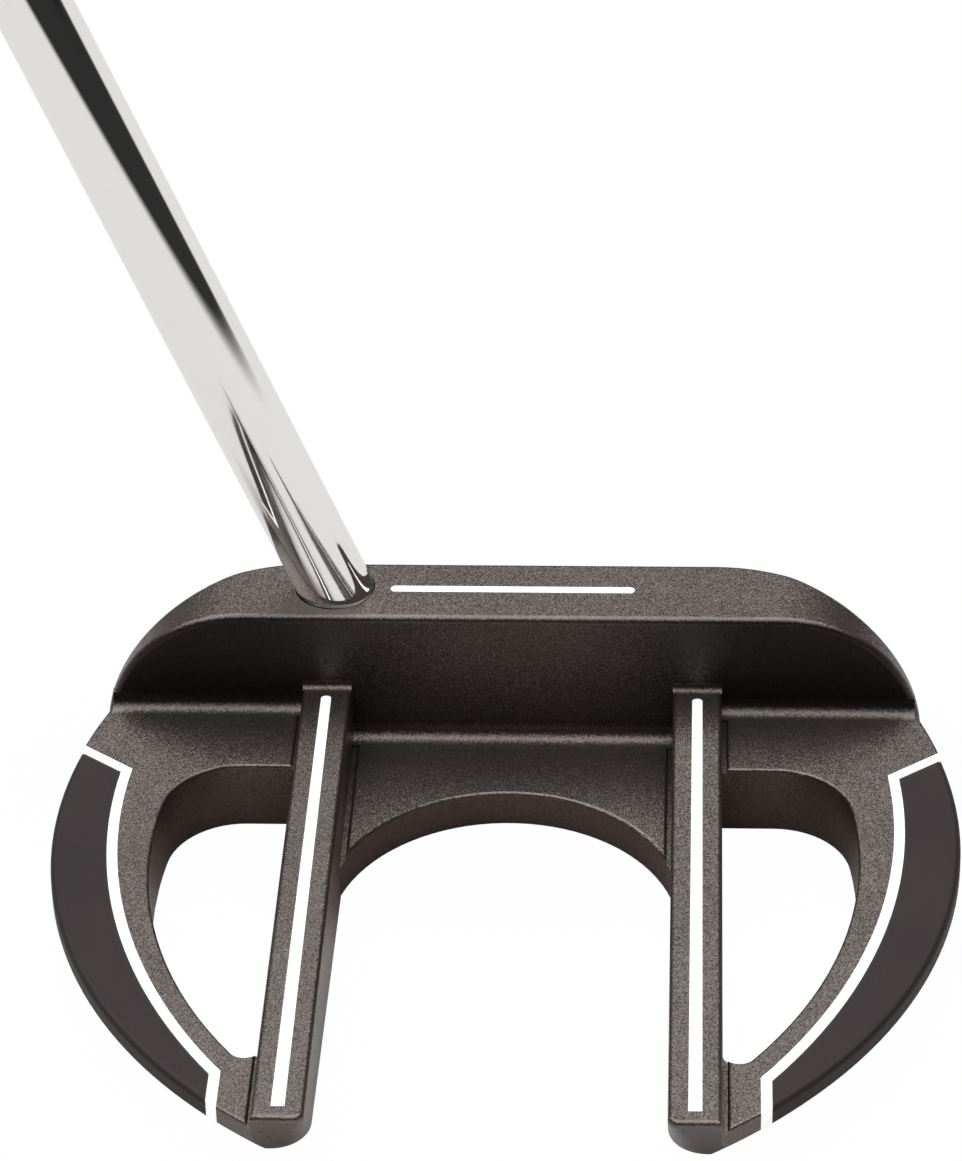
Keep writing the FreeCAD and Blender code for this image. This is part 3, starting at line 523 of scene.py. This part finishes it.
# The moulded pattern. Places along the grip are from its mouth, or from its butt for those called
# BACK; places around it are from the middle of the thumb flat.
LIP = Cut(1.6 * MM, 1.1 * MM)
RING = Cut(0.9 * MM, 0.5 * MM)
RING_PLACES = (5 * MM, 8 * MM, 11 * MM)
BUTT_RING = Cut(1.1 * MM, 0.6 * MM)
BUTT_RING_BACK = 6 * MM
PATTERN_START = 18 * MM
PATTERN_BACK = 14 * MM
PATTERN_FADE = 3 * MM
THUMB_EDGE = (7.5 * MM, 6.5 * MM)
BORDER = Cut(0.8 * MM, 0.45 * MM)
BORDER_AT = 8.2 * MM
SIDE_EDGE = (9.0 * MM, 10.5 * MM)
RIB_PITCH = 3.2 * MM
RIB_DEPTH = 0.35 * MM
WEAVE_PITCH = 4.4 * MM
WEAVE_DEPTH = 0.4 * MM
PITCH_SHARE = 0.22
SEAM = Cut(0.5 * MM, 0.25 * MM)
SKIN_GRAIN = 1.3 * MM
SKIN_GRAIN_DEPTH = 0.03 * MM

# How near the bore's or the skin's end a point counts as lying on it.
RIM_REACH = 0.01 * MM


class GripAxis:
    """The shaft's axis seen from the CAD grip: its mouth, its way to the butt and its length."""

    def __init__(self):
        mount = next(m for m in frame["record"]["mounts"] if m["name"] == "grip_hold")
        foot = Vector(mount["pos_m"])
        self.way = Vector(mount["axis"]).normalized()
        grip = frame["nodes"]["grip"]
        reach = [(grip.matrix_world @ v.co - foot).dot(self.way) for v in grip.data.vertices]
        self.mouth = foot + self.way * min(reach)
        self.length = max(reach) - min(reach)
        self.flat = Vector((self.way.z, 0.0, -self.way.x))
        self.side = self.way.cross(self.flat)

    def point(self, along, angle, radius):
        """Gives a point from its place along the axis, its bearing from the flat and its radius."""
        out = self.flat * math.cos(angle) + self.side * math.sin(angle)
        return self.mouth + self.way * along + out * radius


def grip_radius(along, length):
    """Gives the round part's radius: a smooth swell through the mouth, the palm and the butt."""
    at = (0.0, GRIP_PALM_AT, length)
    sizes = (GRIP_MOUTH, GRIP_PALM, GRIP_BUTT)
    total = 0.0
    for i in range(3):
        share = sizes[i]
        for j in range(3):
            if j != i:
                share *= (along - at[j]) / (at[i] - at[j])
        total += share
    return total


def grip_skin(along, angle, length):
    """Gives the outer radius: the rounded D section, less the moulded pattern's depth."""
    radius = grip_radius(along, length)
    facing = math.cos(angle)
    if facing > FLAT_REACH:
        flat = GRIP_FLAT * radius / facing
        radius = (radius ** -FLAT_POWER + flat ** -FLAT_POWER) ** (-1 / FLAT_POWER)
    return radius - grip_relief(along, angle, radius, length)


def grip_relief(along, angle, radius, length):
    """Gives how deep the moulded pattern lies under the skin."""
    turns = radius * wrap(angle)
    around = abs(turns)
    lip = groove(along, LIP)
    rings = sum(groove(along - place, RING) for place in RING_PLACES)
    last_ring = groove(along - (length - BUTT_RING_BACK), BUTT_RING)
    start, stop = PATTERN_START, length - PATTERN_BACK
    inside = smooth(along, start, start + PATTERN_FADE) * smooth(along, stop, stop - PATTERN_FADE)
    border = groove(around - BORDER_AT, BORDER)
    ribs = smooth(around, *THUMB_EDGE) * grooves(along, RIB_PITCH, RIB_DEPTH)
    weave = smooth(around, *SIDE_EDGE) * max(
        grooves(along + turns, WEAVE_PITCH, WEAVE_DEPTH), grooves(along - turns, WEAVE_PITCH, WEAVE_DEPTH)
    )
    seam = groove(around - math.pi * radius, SEAM)
    grain = SKIN_GRAIN_DEPTH * noise.noise(Vector((along, turns, 0.0)) / SKIN_GRAIN)
    return lip + rings + last_ring + inside * (border + ribs + weave) + seam + grain


def wrap(angle):
    """Brings an angle into the range from -pi to pi."""
    return math.remainder(angle, 2 * math.pi)


def smooth(value, low, high):
    """Rises smoothly from 0 at low to 1 at high."""
    share = min(max((value - low) / (high - low), 0.0), 1.0)
    return share * share * (3 - 2 * share)


def groove(distance, size):
    """Gives the depth of a round-bottomed groove at a distance from its middle."""
    return size.depth * smooth(abs(distance), size.half, 0.0)


def grooves(value, pitch, depth):
    """Gives the depth of narrow round grooves, one each pitch."""
    return groove(math.remainder(value, pitch), Cut(PITCH_SHARE * pitch, depth))


def build_grip():
    """Makes the rubber grip as one closed skin: bore, mouth, patterned outside and butt.

    A ring has a place along the grip and a share of the way from the bore to the outside.
    """
    axis = GripAxis()
    count = round(axis.length / GRIP_STATION)
    stations = [axis.length * i / count for i in range(count + 1)]
    rings = [(axis.length * (1 - i / BORE_RINGS), 0.0) for i in range(BORE_RINGS + 1)]
    rings.append((0.0, 0.5))
    rings += [(along, 1.0) for along in stations]
    mesh = bmesh.new()
    skin = []
    for along, share in rings:
        ring = []
        for step in range(GRIP_AROUND):
            angle = 2 * math.pi * step / GRIP_AROUND
            wall = grip_skin(along, angle, axis.length) - GRIP_BORE
            ring.append(mesh.verts.new(axis.point(along, angle, GRIP_BORE + share * wall)))
        skin.append(ring)
    for number, ring in enumerate(skin):
        after = skin[(number + 1) % len(skin)]
        for step in range(GRIP_AROUND):
            ahead = (step + 1) % GRIP_AROUND
            mesh.faces.new((ring[step], after[step], after[ahead], ring[ahead])).smooth = True
    bmesh.ops.recalc_face_normals(mesh, faces=mesh.faces)
    data = bpy.data.meshes.new("moulded_grip")
    mesh.to_mesh(data)
    mesh.free()
    grip = bpy.data.objects.new("moulded_grip", data)
    bpy.context.scene.collection.objects.link(grip)
    data.materials.append(rubber_material("grip_rubber", GRIP_TONE))
    for edge in data.edges:
        edge.use_edge_sharp = is_rim(data, edge, axis)
    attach(grip, "root")
    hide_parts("grip")


def is_rim(data, edge, axis):
    """Tells whether an edge lies on the mouth or the butt, where the grip is square."""
    reach = [(data.vertices[v].co - axis.mouth).dot(axis.way) for v in edge.vertices]
    at_mouth = max(reach) < RIM_REACH
    at_butt = min(reach) > axis.length - RIM_REACH
    return at_mouth or at_butt


# ---- Scene ----------------------------------------------------------------------------------


# The floor: half its width, how much of it is plain glow to the camera, its colour close under the
# head, a warm painted shadow of the head, and beyond, and that painted shadow: its middle, the factors
# that scale its half sizes to 1, and the span, on that scale, over which its rim fades.
FLOOR_HALF = 12.0
FLOOR_GLOW = 0.99
FLOOR_PAINTED_SHADOW = (0.31, 0.25, 0.235)
FLOOR_FAR = (0.80, 0.80, 0.79)
SHADE_MIDDLE = (0.0, -10 * MM, 0.0)
SHADE_STRETCH = (1 / (62 * MM), 1 / (30 * MM), 0.0)
SHADE_RIM = (0.85, 1.25)


def add_floor():
    """A wide floor, near white to the camera; other rays see a painted shadow under the head, pale beyond.
    """
    mesh = bpy.data.meshes.new("floor")
    height = CAD_BOX[0][2]
    corners = ((-1, -1), (1, -1), (1, 1), (-1, 1))
    mesh.from_pydata([(x * FLOOR_HALF, y * FLOOR_HALF, height) for x, y in corners], [], [(0, 1, 2, 3)])
    floor = bpy.data.objects.new("floor", mesh)
    bpy.context.scene.collection.objects.link(floor)
    m = Finish("pale_floor")
    stretch = m.vector("MULTIPLY", m.vector("SUBTRACT", m.place, SHADE_MIDDLE), SHADE_STRETCH)
    away = m.span(m.vector("LENGTH", stretch), *SHADE_RIM, smooth=True)
    # Painted shadow: other rays see the floor dim and warm where the head would shade it.
    diffuse = m.shader("BsdfDiffuse", Color=m.mix(away, FLOOR_PAINTED_SHADOW, FLOOR_FAR))
    seen = m.math("MULTIPLY", m.add("LightPath").outputs["Is Camera Ray"], FLOOR_GLOW)
    m.finish(m.blend(seen, diffuse, m.shader("Emission", Strength=1.0)))
    mesh.materials.append(m.material)


# The soft light: the direction of its middle, the half angles, in degrees, between which it
# fades out, its brightness, and the brightness and the tint of the rest of the room.
LIGHT_HEIGHT = 78.0
LIGHT_BEARING = 128.0
LIGHT_FADE = (37.0, 45.0)
LIGHT_POWER = 2.2
ROOM_POWER = 0.062
ROOM_TINT = (1.0, 0.72, 0.68)


def add_sky():
    """The room: white to the camera, and dim but for a broad soft light overhead to all else."""
    world = bpy.data.worlds.new("room")
    bpy.context.scene.world = world
    world.use_nodes = True
    m = Nodes(world.node_tree, "OutputWorld", "Generated")
    height, bearing = math.radians(LIGHT_HEIGHT), math.radians(LIGHT_BEARING)
    middle = (
        math.cos(height) * math.cos(bearing), math.cos(height) * math.sin(bearing), math.sin(height)
    )
    bright, dim = (math.cos(math.radians(angle)) for angle in LIGHT_FADE)
    towards = m.vector("DOT_PRODUCT", m.place, middle)
    power = m.span(towards, dim, bright, ROOM_POWER, LIGHT_POWER, smooth=True)
    room = m.shader("Background", Color=m.mix(power, ROOM_TINT, WHITE), Strength=power)
    seen = m.add("LightPath").outputs["Is Camera Ray"]
    m.finish(m.blend(seen, room, m.shader("Background", Color=WHITE, Strength=1.0)))


def add_camera():
    """The camera: turned level, dipped, and rolled about its own line of sight."""
    data = bpy.data.cameras.new("camera")
    data.lens = CAMERA_LENS
    data.sensor_width = CAMERA_SENSOR
    data.clip_start = CAMERA_NEAREST
    camera = bpy.data.objects.new("camera", data)
    turn = (
        Matrix.Rotation(math.radians(CAMERA_TURN), 4, "Z")
        @ Matrix.Rotation(math.radians(90 - CAMERA_DIP), 4, "X")
        @ Matrix.Rotation(math.radians(CAMERA_ROLL), 4, "Z")
    )
    camera.matrix_world = Matrix.Translation(CAMERA_PLACE) @ turn
    bpy.context.scene.collection.objects.link(camera)
    bpy.context.scene.camera = camera


def finish_pieces():
    """Gives every CAD node but the grip, which the moulded grip replaces, its finish."""
    head = head_material()
    weight = weight_material()
    trim = white_material("white_enamel", ENAMEL_ROUGH)
    paint = white_material("white_paint", PAINT_ROUGH)
    cover("head_body", head)
    cover("front_sight_line", paint)
    for side in ("toe", "heel"):
        cover(f"{side}_wing_weight", weight)
        cover(f"{side}_wing_trim", trim)
        cover(f"{side}_sight_line", paint)
    cover("weight_pins", pin_material())
    cover("shaft", chrome_material())
    cover("shaft_bond", bond_material())
    cover("grip_tape", tape_material())
    cover("grip_cap", rubber_material("cap_rubber", CAP_TONE))


finish_pieces()
build_grip()
add_floor()
add_sky()
add_camera()
bpy.context.scene.view_settings.view_transform = "Standard"
